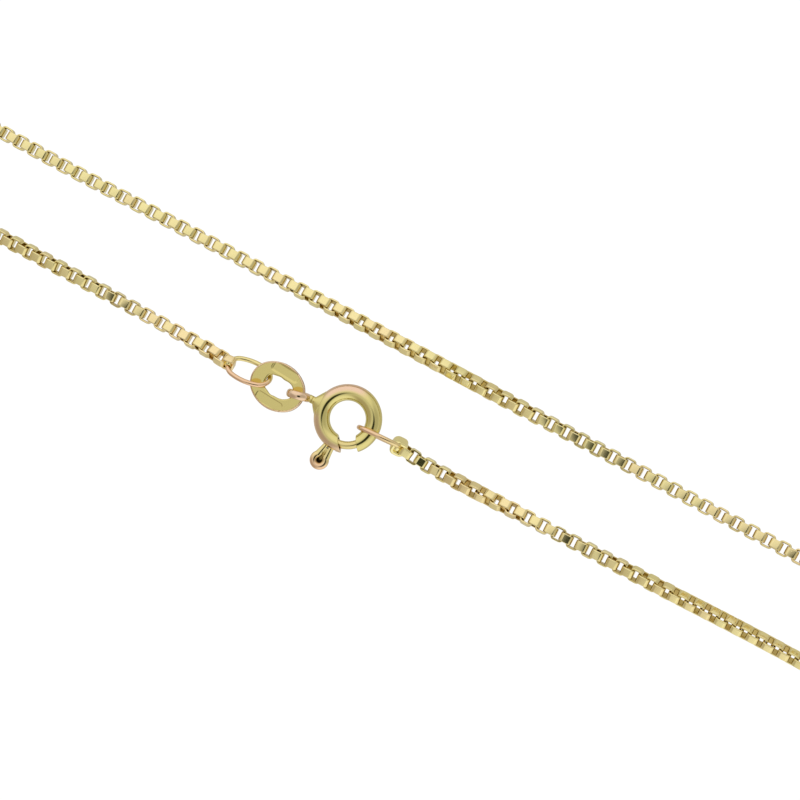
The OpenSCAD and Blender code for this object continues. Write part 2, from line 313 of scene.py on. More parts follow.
# Three tables of stations along the route, each with its x and a value, for the strands at the front right,
# the rear and the front left. First, how far the chain is rolled about its own line
ROLL = [
    [(1.95, 18), (3.5, 0), (5, 4), (6.4, 12), (7.9, 25), (9.3, 36), (10.4, 45), (12, 56),
     (13.5, 66), (15, 75), (16.3, 82), (17.8, 88), (18.6, 91), (20.8, 97), (22.5, 101),
     (25, 110), (28, 122), (31, 133), (60, 120)],
    [(60, 95), (33, 93), (21, 91), (19, 88), (15.6, 86), (14.1, 84), (12.6, 81), (11, 77),
     (9.6, 72), (8.1, 66), (6.6, 60), (4.5, 51), (3, 45), (-0.3, 38), (-4, 33), (-9.2, 25),
     (-13, 15), (-16, 9), (-20, 6), (-30, 5), (-60, 0)],
    [(-60, 30), (-36, 17), (-31, 12), (-27, 4), (-25, 0), (-22, -5), (-20, -11), (-18, -19),
     (-16.5, -30), (-14.6, -45)],
]
# How far the links lean along the chain, their upper sides towards +x
LEAN = [
    [(1.95, 0), (3.2, 0), (4.1, 9), (5, -1), (16, -1), (17.6, 0), (18.4, 1.2), (19.2, -1), (60, -1)],
    [(60, -3), (20.6, -3), (19.4, 0.6), (16, 0.9), (13.8, 0), (0, 0), (-60, 0)],
    [(-60, 0), (-29, 0), (-27.6, 4.6), (-24.6, 4.6), (-23, 0), (-14.6, 0)],
]
# How rosy the links are
ROSE = [
    [(1.95, 0), (6, 0.1), (8, 0.35), (13, 0.25), (19, 0.1), (60, 0.1)],
    [(60, 0.15), (33, 0.2), (21, 0.15), (16, 0.05), (4, 0.05), (-2, 0.15), (-9, 0.15), (-16, 0.05),
     (-60, 0.05)],
    [(-60, 0.1), (-30, 0.05), (-24, 0.2), (-14.6, 0.35)],
]

# Gold: clean colour, rosy colour and roughness
CHAIN_GOLD = ((0.91, 0.81, 0.39), (0.95, 0.68, 0.45), 0.14)
RING_GOLD = ((0.84, 0.72, 0.33), (0.85, 0.57, 0.37), 0.1)
CLASP_GOLD = ((0.74, 0.65, 0.26), (0.84, 0.6, 0.43), 0.09)
# Colour of the painted reflections of the rings in the tag, and what the darkening mark does to the gold,
# from clean over amber to black. It darkens by painted shade, and by dullness at the neck's seam, the tag and
# the bolt
RING_REFLECTION_COLOUR = (0.7, 0.48, 0.1)
SHADE_AND_DULL_STOPS = [(0, (1, 1, 1)), (0.5, (0.6, 0.51, 0.33)), (1, (0.012, 0.008, 0.003))]
# Least and most roughness beside the mean, and scale and detail of the cloudiness and of the rubbing marks
ROUGHNESS_SPREAD = (0.8, 1.25)
CLOUDS = (900, 4)
RUBBING = (5000, 3)
RUBBING_STRENGTH = 0.05
RUBBING_DEPTH = 0.00001

# Camera, and the lit table with its share of plain white, roughness and own light
CAMERA_DISTANCE = 245
CAMERA_TILT = 8
CAMERA_ROLL = 28
MM_A_PIXEL = 0.0863
PICTURE_PIXELS = 800
SENSOR_WIDTH = 36
NEAR_CLIP = 0.01
TABLE_HALF = 1.5
TABLE_WHITE = 0.05
TABLE_ROUGHNESS = 0.9
TABLE_LIGHT = 1.0

# Light tent: its own grey, and its parts one over the other
# Name, angle in the picture, angle from straight up, inner reach, outer reach and colour
TENT_GREY = (0.74, 0.735, 0.71)
TENT_PARTS = [
    ("skirt", 0, 180, 66, 96, (0.62, 0.6, 0.55)),
    ("left shade", 205, 66, 15, 52, (0.5, 0.45, 0.4)),
    ("right shade", 345, 46, 12, 42, (0.56, 0.55, 0.5)),
    ("far lamp", 100, 52, 26, 56, (1.02, 1.0, 0.98)),
    ("near lamp", 284, 80, 18, 56, (1.04, 1.03, 1.0)),
    ("lens opening", 298, 15, 10, 21, (0.03, 0.035, 0.02)),
]


# Surfaces and pieces

def unit(v):
    return v / np.linalg.norm(v, axis=-1, keepdims=True)


def turn(x=0.0, y=0.0, z=0.0):
    """Rotation about x, then y, then z, as a 3 by 3 array."""
    spins = [Matrix.Rotation(math.radians(a), 3, axis) for a, axis in ((z, "Z"), (y, "Y"), (x, "X"))]
    return np.array(spins[0] @ spins[1] @ spins[2])


class Surface:
    """Points in millimetres, their outward normals, the faces between them, and the marks of each point."""

    def __init__(self, points, normals, faces, marks=None):
        self.points = points
        self.normals = normals
        self.faces = faces
        self.marks = marks or {mark: np.zeros(len(points)) for mark in MARKS}

    def moved(self, spin=np.eye(3), shift=(0, 0, 0)):
        return Surface(self.points @ spin.T + shift, self.normals @ spin.T, self.faces, self.marks)


def facing_out(points, normals, faces):
    """Surface whose faces are wound so that they look the way the normals do."""
    points = np.asarray(points, float).reshape(-1, 3)
    normals = unit(np.asarray(normals, float).reshape(-1, 3))
    a, b, c = (points[faces[:, k]] for k in range(3))
    lean = (np.cross(b - a, c - a) * normals[faces[:, 0]]).sum()
    return Surface(points, normals, faces if lean >= 0 else faces[:, ::-1])


def grid_faces(rows, columns, wrap_rows, wrap_columns):
    """Quads between the points of a grid, closed on itself along either way."""
    i = np.arange(rows if wrap_rows else rows - 1)
    j = np.arange(columns if wrap_columns else columns - 1)
    i, j = (x.ravel() for x in np.meshgrid(i, j, indexing="ij"))
    i2, j2 = (i + 1) % rows, (j + 1) % columns
    return np.stack([i * columns + j, i * columns + j2, i2 * columns + j2, i2 * columns + j], axis=1)


def grid_surface(points, normals, wrap_rows=False):
    """Surface over a grid of points whose rows are closed rings."""
    return facing_out(points, normals, grid_faces(*points.shape[:2], wrap_rows, True))


def sweep(line, section, closed):
    """Tube along a line in the plane z = 0.

    A row of the line is x, y and the outward normal. A row of the section is out, up, and the normal's out
    and up. Each row of the line may have its own section.
    """
    section = np.broadcast_to(section, (len(line),) + section.shape[-2:])
    level = np.zeros((len(line), 1))
    centre = np.hstack([line[:, :2], level])[:, None]
    out = np.hstack([line[:, 2:], level])[:, None]
    up = np.array([0.0, 0.0, 1.0])
    points = centre + section[..., 0:1] * out + section[..., 1:2] * up
    normals = section[..., 2:3] * out + section[..., 3:4] * up
    return grid_surface(points, normals, closed)


def oval_section(half_out, half_up, sides):
    a = np.linspace(0, 2 * math.pi, sides, endpoint=False)
    n = unit(np.stack([half_up * np.cos(a), half_out * np.sin(a)], axis=1))
    return np.column_stack([half_out * np.cos(a), half_up * np.sin(a), n])


def arc(centre, r, angles):
    """Points and normals on an arc in the plane."""
    a = np.radians(np.asarray(angles, float))
    n = np.stack([np.cos(a), np.sin(a)], axis=1)
    return np.concatenate([np.asarray(centre) + r * n, n], axis=1)


def smooth_line(knots, steps):
    """Curve through the knots. A knot's tangent comes from its neighbours, by the lengths between them."""
    p = np.asarray(knots, float)
    gaps = np.linalg.norm(np.diff(p, axis=0), axis=1)
    slopes = np.diff(p, axis=0) / gaps[:, None]
    inner = (slopes[:-1] * gaps[1:, None] + slopes[1:] * gaps[:-1, None]) / (gaps[:-1] + gaps[1:])[:, None]
    tangents = np.concatenate([slopes[:1], inner, slopes[-1:]])
    t = np.linspace(0, 1, steps, endpoint=False)[:, None]
    h = 2 * t ** 3 - 3 * t ** 2 + 1, t ** 3 - 2 * t ** 2 + t, -2 * t ** 3 + 3 * t ** 2, t ** 3 - t ** 2
    rows = [
        h[0] * p[i] + h[1] * gap * tangents[i] + h[2] * p[i + 1] + h[3] * gap * tangents[i + 1]
        for i, gap in enumerate(gaps)
    ]
    return np.concatenate(rows + [p[-1:]])


def make_piece(name, surfaces, material, body, node):
    """One smooth mesh from several surfaces. It rides on a body and stands for a node."""
    points = np.concatenate([s.points for s in surfaces]) * MM
    normals = np.concatenate([s.normals for s in surfaces])
    firsts = np.cumsum([0] + [len(s.points) for s in surfaces])
    loops = np.concatenate([(s.faces + first).ravel() for s, first in zip(surfaces, firsts)])
    sizes = np.concatenate([np.full(len(s.faces), s.faces.shape[1]) for s in surfaces])
    mesh = bpy.data.meshes.new(name)
    mesh.vertices.add(len(points))
    mesh.vertices.foreach_set("co", points.ravel())
    mesh.loops.add(len(loops))
    mesh.loops.foreach_set("vertex_index", loops)
    mesh.polygons.add(len(sizes))
    mesh.polygons.foreach_set("loop_start", np.concatenate([[0], np.cumsum(sizes)[:-1]]))
    mesh.polygons.foreach_set("use_smooth", np.ones(len(sizes), bool))
    mesh.update(calc_edges=True)
    for mark in MARKS:
        values = np.concatenate([s.marks[mark] for s in surfaces])
        mesh.attributes.new(mark, "FLOAT", "POINT").data.foreach_set("value", values)
    mesh.normals_split_custom_set_from_vertices(normals.tolist())
    mesh.materials.append(material)
    piece = bpy.data.objects.new(name, mesh)
    bpy.context.scene.collection.objects.link(piece)
    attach(piece, body)
    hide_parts(node)


# Box links

def rounded_box_line(half_a, half_b, r, steps, bow):
    """Closed line round a box with rounded corners: x, y and normal. Its flat sides bow out by an angle."""
    rows = []
    for quarter, (sx, sy) in enumerate(((1, 1), (-1, 1), (-1, -1), (1, -1))):
        along, across = (half_b, half_a) if quarter % 2 else (half_a, half_b)
        angles = np.linspace(quarter * 90 + bow, quarter * 90 + 90 - bow, steps + 1)
        rows.append(arc((sx * (half_a - r), sy * (half_b - r)), r, angles))
        bulge = (along - r) * math.tan(math.radians(bow) / 2)
        rows.append(arc((0, 0), across + bulge, [quarter * 90 + 90]))
    return np.concatenate(rows)


def link_surface(length, width, strip_w, strip_t, corner_r, edge_r, steps):
    """One box link about its own centre, opening along z, chain along x. Its inner side and rounded corners
    get painted shade.
    """
    half_t = strip_t / 2
    line = rounded_box_line(length / 2 - half_t, width / 2 - half_t, corner_r - half_t, steps, SIDE_BOW)
    section = rounded_box_line(half_t, strip_w / 2, edge_r, steps // 2, STRIP_BOW)
    link = sweep(line, section, closed=True)
    # Painted shade: a little on the rounded corners, more on the inner side
    bend = LINK_BEND_SHADE * 4 * np.prod(line[:, 2:] ** 2, axis=1)
    inside = section[:, 0] < -half_t / 2
    link.marks["shade_and_dull"] = np.where(inside, LINK_INSIDE_SHADE, bend[:, None]).ravel()
    return link


def half_circle(x, start, end):
    turns = np.radians(np.linspace(start, end, LOOP_END_STEPS + 1))
    return [(x + LOOP_END_R * math.cos(a), LOOP_END_R * math.sin(a), 0) for a in turns]


def resting_height(roll):
    """Height of the chain's middle above what it lies on, when it is rolled about its own line."""
    a = np.radians(roll)
    s, c = np.abs(np.sin(a)), np.abs(np.cos(a))
    half_w, half_s = CHAIN_W / 2, STRIP_W / 2
    return np.maximum(half_s * s + half_w * c, half_w * s + half_s * c)


def along_route(line, length, strands):
    """A value at each point of the line, eased between the stations of the three strands."""
    x = line[:, 0]
    ends = [0, int(np.argmax(x)), int(np.argmin(x)), len(x)]
    places, values = [], []
    for stations, first, last in zip(strands, ends[:-1], ends[1:]):
        for place, value in stations:
            places.append(length[first + int(np.argmin(np.abs(x[first:last] - place)))])
            values.append(value)
    return np.interp(length, places, values)


def chain_frames():
    """Middle, directions and rosiness of every link between the two end links."""
    start = np.append(right_link[:2], right_link[2] - resting_height(RIGHT_LINK_ROLL))
    end = np.append(left_link[:2], left_link[2] - resting_height(TAG_RING_LEAN))
    knots = [start, *ROUTE_FRONT_RIGHT, *half_circle(LOOP_END_X, -90, 90), *ROUTE_REAR,
             *half_circle(-LOOP_END_X, 90, 270), *ROUTE_FRONT_LEFT, end]
    line = smooth_line(knots, ROUTE_STEPS)
    length = np.concatenate([[0], np.cumsum(np.linalg.norm(np.diff(line[:, :2], axis=0), axis=1))])
    roll, lean, rose = (along_route(line, length, strands) for strands in (ROLL, LEAN, ROSE))
    line[:, 2] += resting_height(roll)
    share = np.arange(1, LINK_STEPS) / LINK_STEPS
    at = length[-1] * share + np.interp(share, *np.transpose(LINK_SHIFTS))

    def on_route(places):
        return np.stack([np.interp(places, length, line[:, k]) for k in range(3)], axis=1)

    along = unit(on_route(at + LINK_AIM) - on_route(at - LINK_AIM))
    side = unit(np.cross([0.0, 0.0, 1.0], along))
    up = np.cross(along, side)
    tip = np.radians(np.interp(at, length, lean))[:, None] * np.sign(along[:, :1])
    along, up = np.cos(tip) * along - np.sin(tip) * up, np.cos(tip) * up + np.sin(tip) * along
    r = np.radians(np.interp(at, length, roll))[:, None]
    side, up = np.cos(r) * side + np.sin(r) * up, np.cos(r) * up - np.sin(r) * side
    return on_route(at), along, side, up, np.interp(at, length, rose)


def chain_pieces(material):
    """All links in four pieces. Each second link stands, the rest lie, all a little askew in their play."""
    master = link_surface(*SHOWN_LINK)
    middles, along, side, up, rose = chain_frames()
    random = np.random.RandomState(PLAY_SEED)
    count = len(middles)
    standing = (np.arange(count) % 2 == 0)[:, None]
    spin = np.stack([along, np.where(standing, up, side), np.where(standing, -side, up)], axis=2)
    play = random.normal(0, 1, (count, 3)) * LINK_PLAY
    rose = np.clip(rose + random.normal(0, ROSE_PLAY, count), 0, 1)
    spin = spin @ np.array([turn(x=a) @ turn(y=b) @ turn(z=c) for a, b, c in play])
    points = np.einsum("nij,vj->nvi", spin, master.points) + middles[:, None]
    normals = np.einsum("nij,vj->nvi", spin, master.normals)
    for k, node in enumerate(CHAIN_NODES):
        part = slice(k * LINKS_A_PIECE, (k + 1) * LINKS_A_PIECE)
        links = len(points[part])
        firsts = np.arange(links)[:, None, None] * len(master.points)
        marks = {mark: np.tile(master.marks[mark], links) for mark in MARKS}
        marks["rose"] = np.repeat(rose[part], len(master.points))
        shape = Surface(points[part].reshape(-1, 3), normals[part].reshape(-1, 3),
                        (master.faces + firsts).reshape(-1, 4), marks)
        make_piece(f"box_links_{k + 1}", [shape], material, "necklace", node)


def solder_bead(half):
    """Egg of solder about its own centre, its two ends across the chain and hidden in the link's sides."""
    v = np.radians(np.linspace(-BEAD_END, BEAD_END, BEAD_ROWS))[:, None]
    u = np.radians(np.linspace(0, 360, BEAD_COLUMNS, endpoint=False))[None]
    n = np.stack([np.cos(v) * np.cos(u), np.sin(v) + 0 * u, np.cos(v) * np.sin(u)], axis=2)
    return grid_surface(n * half, n / half)


def end_links(material):
    """The two end links, each with a bead of solder where its wire ring passes through."""
    right, left = link_surface(*SHOWN_RIGHT_END), link_surface(*SHOWN_LEFT_END)
    # No painted shade on the right end link, a fifth of it on the left one
    right.marks["shade_and_dull"][:] = 0
    left.marks["shade_and_dull"] *= LEFT_END_SHADE_SHARE
    left.marks["rose"][:] = LEFT_END_ROSE
    right_spin = turn(x=SHOWN_RIGHT_END_ROLL, y=RIGHT_LINK_PITCH)
    left_spin = turn(z=TAG_RING_TURN) @ turn(x=90 + TAG_RING_LEAN)
    places = [
        ("right", right, right_spin, right_link + SHOWN_RIGHT_END_SHIFT, RIGHT_BEAD),
        ("left", left, left_spin, left_link, LEFT_BEAD),
    ]
    for name, link, spin, middle, (bead_half, bead_x) in places:
        shapes = [link.moved(spin, middle), solder_bead(bead_half).moved(spin, middle + bead_x * spin[:, 0])]
        make_piece(f"{name}_end_link", shapes, material, "necklace", f"end_link_{name}")


# Wire rings

def oval_line(half_l, half_w, end_r, steps):
    """Closed line of four arcs: x, y and normal."""
    side_r = (half_w ** 2 + (half_l - end_r) ** 2 - end_r ** 2) / (2 * (half_w - end_r))
    join = math.degrees(math.atan2(side_r - half_w, half_l - end_r))
    rows = []
    for flip, s in ((0, 1), (180, -1)):
        end_angles = np.linspace(flip - join, flip + join, steps + 1)[:-1]
        side_angles = np.linspace(flip + join, flip + 180 - join, steps + 1)[:-1]
        rows.append(arc((s * (half_l - end_r), 0), end_r, end_angles))
        rows.append(arc((0, s * (half_w - side_r)), side_r, side_angles))
    return np.concatenate(rows)


def oval_ring():
    """Oval wire ring about its own centre, long way along x."""
    line = oval_line(ring_half_l, ring_half_w, RING_END_R, RING_ARC_STEPS)
    return sweep(line, oval_section(RING_WIRE / 2, RING_WIRE / 2, WIRE_SIDES), closed=True)


def wire_rings(material):
    hook, upper = oval_ring(), oval_ring()
    hook.marks["rose"] = np.interp(hook.points[:, 0] / ring_half_l, *HOOK_RING_ROSE)
    upper.marks["rose"] = np.interp(upper.points[:, 1] / ring_half_w, *TAG_RING_ROSE)
    hook = hook.moved(turn(z=HOOK_RING_TURN) @ turn(x=90 + HOOK_RING_LEAN), hook_ring)
    upper = upper.moved(turn(z=TAG_RING_TURN) @ turn(x=TAG_RING_LEAN), tag_ring)
    make_piece("clasp_side_ring", [hook], material, "necklace", "hook_ring")
    make_piece("tag_side_ring", [upper], material, "necklace", "tag_ring")


# Tag link

def oval_reach(half_l, half_w, end_r, angles):
    """Distance from an oval's centre to its edge along each angle, by walking its fine outline."""
    line = oval_line(half_l, half_w, end_r, OUTLINE_ARC_STEPS)
    a = np.arctan2(line[:, 1], line[:, 0])
    order = np.argsort(a)
    return np.interp(angles, a[order], np.hypot(line[:, 0], line[:, 1])[order], period=2 * math.pi)


def tag_half_section(across):
    """Rows from the hole's middle height over the top to the outer edge: share of band, shift, height."""
    quarter = np.radians(np.linspace(0, 90, TAG_EDGE_ROWS))
    c, s = 1 - np.cos(quarter), 1 - np.sin(quarter)
    hole = np.column_stack([0 * c, TAG_HOLE_EDGE_R * c, TAG_T / 2 - TAG_HOLE_EDGE_R * s])
    shares = np.linspace(0, 1, across)[1:-1]
    band = np.column_stack([shares, 0 * shares, 0 * shares + TAG_T / 2])
    edge = np.column_stack([0 * c + 1, -TAG_EDGE_R * s, TAG_T / 2 - TAG_EDGE_R * c])
    return np.concatenate([hole, band, edge[::-1]])


def panel_sink(x, y):
    """How deep the two panels are sunk at a place of the tag's face."""
    dx = np.maximum(np.abs(x) - PANEL_L / 2 + PANEL_CORNER_R, 0)
    dy = np.maximum(np.abs(np.abs(y) - (TAG_W + TAG_HOLE_W) / 4) - PANEL_W / 2 + PANEL_CORNER_R, 0)
    inside = PANEL_CORNER_R - np.hypot(dx, dy)
    depth, slope = (np.where(y > 0, rear, front) for rear, front in zip(REAR_PANEL, FRONT_PANEL))
    return depth * np.clip(inside / slope + 0.5, 0, 1)


def tag_surface():
    """Flat oval link with rounded edges, an uneven hole and two sunk bare panels on its upper face."""
    angles = np.linspace(-math.pi, math.pi, TAG_COLUMNS, endpoint=False)
    outer = oval_reach(TAG_L / 2, TAG_W / 2, TAG_END_R, angles)[:, None]
    inner = oval_reach(TAG_HOLE_L / 2, TAG_HOLE_W / 2, TAG_HOLE_END_R, angles)
    inner = inner * (1 + sum(size * np.sin(waves * angles + start) for size, waves, start in HOLE_WAVES))
    inner = (inner * (1 - HOLE_LEFT_DRAWN_IN * np.clip(-np.cos(angles), 0, 1) ** 2))[:, None]

    under = tag_half_section(TAG_UNDER_ROWS)[::-1] * (1, 1, -1)
    share, shift, z = np.concatenate([tag_half_section(TAG_TOP_ROWS), under]).T
    band_in, band_out = inner + TAG_HOLE_EDGE_R, outer - TAG_EDGE_R
    on_edge = np.where(share == 1, outer + shift, band_in + share * (band_out - band_in))
    reach = np.where(share == 0, inner + shift, on_edge)
    x, y = reach * np.cos(angles)[:, None], reach * np.sin(angles)[:, None]
    z = z - np.where(z > TAG_T / 4, panel_sink(x, y), 0)
    points = np.stack([x, y, z], axis=2)
    along = np.roll(points, -1, axis=0) - np.roll(points, 1, axis=0)
    around = np.roll(points, -1, axis=1) - np.roll(points, 1, axis=1)
    shape = grid_surface(points, np.cross(around, along), wrap_rows=True)

    edge = np.broadcast_to(share == 1, x.shape).ravel()
    # Painted reflections of the rings in the tag's face, oval patches that fade at their edges
    spin = turn(z=TAG_RING_REFLECTION_TURN)[:, :2]
    away = [(shape.points - (*middle, 0)) @ spin / TAG_RING_REFLECTION_HALF for middle in TAG_RING_REFLECTIONS]
    nearest = np.min(np.linalg.norm(away, axis=2), axis=0)
    shape.marks["shade_and_dull"] = np.where(edge, 0, TAG_DULL)
    shape.marks["ring_reflection"] = np.where(edge, 0, np.interp(nearest, TAG_RING_REFLECTION_EDGE, (1, 0)))
    # Painted pink highlight on the rounded outer edge
    shape.marks["rose"] = np.where(edge, TAG_EDGE_PINK_HIGHLIGHT, 0)
    return shape


def tag_piece(material):
    shape = tag_surface().moved(turn(z=TAG_TURN) @ turn(y=-tag_slope), tag)
    make_piece("oval_tag", [shape], material, "necklace", "tag_link")


# Spring ring

def torus_normal(u, v):
    """Outward normal of the clasp's tube: u round the clasp, v round the tube."""
    u, v = np.radians(u), np.radians(v)
    return np.stack([np.cos(v) * np.cos(u), np.cos(v) * np.sin(u), np.sin(v) + 0 * u], axis=-1)


def torus_point(u, v, r):
    """Point on a tube of radius r round the clasp's line."""
    return clasp_r * torus_normal(u, 0 * v) + r * torus_normal(u, v)


def gap_edge(side, v, r, depth):
    """Angle round the clasp of the opening's face at a point of the tube, depth behind that face."""
    reach = clasp_r + r * np.cos(np.radians(v))
    lies = GAP_SHIFT + side * (CLASP_GAP / 2 + depth)
    return GAP_TURN + np.degrees(np.arcsin(lies / reach))


def swell(degrees, middle, reach):
    """Soft swell from 0 to 1 and back, centred on an angle and gone a reach away from it."""
    away = np.abs((degrees - middle + 180) % 360 - 180) / reach
    t = np.clip((1 - away) * PINK_REFLECTION_EASE, 0, 1)
    return t * t * (3 - 2 * t)


def tube_surfaces():
    """Hollow tube of the clasp, with rounded ends at the opening and the slot for the thumb loop."""
    slot_columns, round_columns = 10, 38
    start_rows, slot_rows, end_rows = 110, 50, 10
    lip_steps = 4

    def ring_angles(r):
        edge = math.degrees(math.asin(slot_h / 2 / r))
        across = np.linspace(-edge, edge, slot_columns + 1)[:-1]
        return np.concatenate([across, np.linspace(edge, 360 - edge, round_columns + 1)[:-1]])

    def wall(r):
        """Angles of rows of points along the tube at radius r, from one rounded end to the other."""
        v = ring_angles(r)[None]
        first = gap_edge(1, v, r, TUBE_LIP)
        last = gap_edge(-1, v, r, TUBE_LIP) + 360
        before = slot_from + 360 + 0 * v
        after = slot_to + 360 + np.minimum(last - last[:, slot_columns], 0)
        t0 = np.linspace(0, 1, start_rows + 1)[:-1, None]
        t1 = np.linspace(0, 1, slot_rows + 1)[:-1, None]
        t2 = np.linspace(0, 1, end_rows + 1)[:, None]
        u = np.concatenate([first + t0 * (before - first), before + t1 * (after - before),
                            after + t2 * (last - after)])
        return u, np.broadcast_to(v, u.shape)

    def lip(side):
        """Rounded rows from the outer wall over the end face into the bore."""
        rows, normals = [], []
        across = side * np.array([-math.sin(math.radians(GAP_TURN)), math.cos(math.radians(GAP_TURN)), 0])
        steps = np.radians(np.linspace(0, 90, lip_steps + 1))
        for wall_r, way, bends in ((TUBE_D / 2, 1, steps[1:]), (bore_r, -1, steps[:0:-1])):
            v = ring_angles(wall_r)
            for a in bends:
                r, depth = wall_r - way * TUBE_LIP * (1 - math.cos(a)), TUBE_LIP * (1 - math.sin(a))
                u = gap_edge(side, v, r, depth)
                rows.append(torus_point(u, v, r))
                normals.append(way * math.cos(a) * torus_normal(u, v) - math.sin(a) * across)
        return np.array(rows), np.array(normals)

    outer_angles, inner_angles = wall(TUBE_D / 2), wall(bore_r)
    outer, inner = torus_point(*outer_angles, TUBE_D / 2), torus_point(*inner_angles, bore_r)
    (start, start_n), (finish, finish_n) = lip(1), lip(-1)
    points = np.concatenate([outer, finish, inner[::-1], start[::-1]])
    normals = np.concatenate([torus_normal(*outer_angles), finish_n, -torus_normal(*inner_angles)[::-1],
                              start_n[::-1]])
    rows, columns = points.shape[:2]
    bore_from = len(outer) + len(finish)
    cut = np.zeros((rows, columns), bool)
    cut[start_rows:start_rows + slot_rows, :slot_columns] = True
    cut[bore_from + end_rows:bore_from + end_rows + slot_rows, :slot_columns] = True
    shell = facing_out(points, normals, grid_faces(rows, columns, True, True)[~cut.ravel()])
    round_clasp = np.degrees(np.arctan2(points[..., 1], points[..., 0]))
    # Painted pink reflections: bands round the clasp on the tube's outer side
    outer_side = np.clip((np.hypot(points[..., 0], points[..., 1]) - clasp_r) / PINK_REFLECTION_RISE, 0, 1)
    pink_reflections = [share * swell(round_clasp, middle, reach) for middle, reach, share in PINK_REFLECTION_BANDS]
    shell.marks["rose"] = (outer_side * np.max(pink_reflections, axis=0)).ravel()
    shell.marks["shade_and_dull"] = np.zeros(rows * columns)
    # Painted shade all along the bore
    shell.marks["shade_and_dull"][bore_from * columns:(bore_from + len(inner)) * columns] = BORE_SHADE

    # Walls of the slot, from the outer surface to the bore
    slot_end = start_rows + slot_rows
    border = [(i, 0) for i in range(start_rows, slot_end + 1)]
    border += [(slot_end, j) for j in range(1, slot_columns)]
    border += [(i, slot_columns) for i in range(slot_end, start_rows - 1, -1)]
    border += [(start_rows, j) for j in range(slot_columns - 1, 0, -1)]
    i, j = np.transpose(border)
    rim, floor = outer[i, j], inner[i, j]
    wall_n = np.cross(np.roll(rim, -1, axis=0) - np.roll(rim, 1, axis=0), floor - rim)
    wall_n *= np.sign((wall_n * (rim.mean(0) - rim)).sum(1))[:, None]
    return [shell, grid_surface(np.stack([rim, floor]), np.stack([wall_n, wall_n]))]


def tail_surfaces():
    """Tail ring standing on edge, and the neck that flares into the clasp's tube."""
    line = arc((0, 0), tail_ring_r, np.linspace(0, 360, TAIL_RING_COLUMNS, endpoint=False))
    ring = sweep(line, oval_section(TAIL_RING_WIRE / 2, TAIL_RING_BREADTH / 2, WIRE_SIDES), closed=True)
    ring.marks["rose"][:] = TAIL_RING_ROSE
    ring = ring.moved(shift=(TAIL_RING_D / 2, 0, 0))
    ring = ring.moved(turn(z=TAIL_TURN) @ turn(x=90), (CLASP_D / 2 + TAIL_NECK_L, 0, 0))

    around = np.radians(np.linspace(0, 360, NECK_COLUMNS, endpoint=False))
    c, s = np.cos(around), np.sin(around)
    reach_y, reach_z = np.where(c > 0, NECK_ROOT_Y_AT_THUMB, NECK_ROOT_Y) * c, NECK_ROOT_Z * s
    tube = clasp_r + np.sqrt((TUBE_D / 2) ** 2 - reach_z ** 2) - NECK_ROOT_DEPTH
    root = np.stack([np.sqrt(tube ** 2 - reach_y ** 2), reach_y, reach_z], axis=1)

    def oval(x, half_y, half_z):
        return np.stack([CLASP_D / 2 + x + 0 * c, half_y * c, half_z * s], axis=1)

    bend, waist, end = oval(*NECK_BEND), oval(*NECK_WAIST), oval(TAIL_NECK_L + NECK_END_X, *NECK_WAIST[1:])
    t = np.linspace(0, 1, NECK_FLARE_ROWS)[:, None, None]
    flare = (1 - t) ** 2 * root + 2 * t * (1 - t) * bend + t ** 2 * waist
    stem = waist + np.linspace(0, 1, NECK_STEM_ROWS + 1)[1:, None, None] * (end - waist)
    points = np.concatenate([flare, stem])
    normals = np.cross(np.roll(points, -1, axis=1) - np.roll(points, 1, axis=1), np.gradient(points, axis=0))
    normals *= np.sign((normals * points * (0, 1, 1)).sum(2, keepdims=True))
    neck = grid_surface(points, normals)
    from_seam = np.abs(neck.points[:, 0] - NECK_SEAM_X) / NECK_SEAM_HALF
    neck.marks["shade_and_dull"] = SEAM_DULL * np.clip(1 - from_seam, 0, 1)
    return [s.moved(turn(z=180)) for s in (ring, neck)]


def clasp_piece(material):
    shapes = [s.moved(shift=clasp) for s in tube_surfaces() + tail_surfaces()]
    make_piece("spring_ring", shapes, material, "necklace", "clasp_body")


def bolt_rod():
    """Sliding bolt with a rounded tip."""
    tip_turn = math.degrees(BOLT_D / 2 / clasp_r)
    turns = np.linspace(THUMB_TURN - BOLT_HEEL_PAST_THUMB, gap_to + BOLT_TIP_PAST_GAP, BOLT_ROWS)
    body = turns[turns < turns[-1] - tip_turn]
    tip = np.radians(np.linspace(0, BOLT_TIP_BEND, BOLT_TIP_ROWS + 1))[1:]
    line = arc((0, 0), clasp_r, np.concatenate([body, turns[-1] - tip_turn * (1 - np.sin(tip))]))
    bend = np.concatenate([np.zeros(len(body)), tip])
    radii = BOLT_D / 2 * np.cos(bend)
    rod = sweep(line, np.stack([oval_section(r, r, BOLT_SIDES) for r in radii]), closed=False)
    ahead = np.column_stack([-line[:, 3], line[:, 2], 0 * bend]) * np.sin(bend)[:, None]
    rod.normals = unit(rod.normals + np.repeat(ahead, BOLT_SIDES, axis=0))
    rod.marks["shade_and_dull"][:] = BOLT_DULL
    return rod


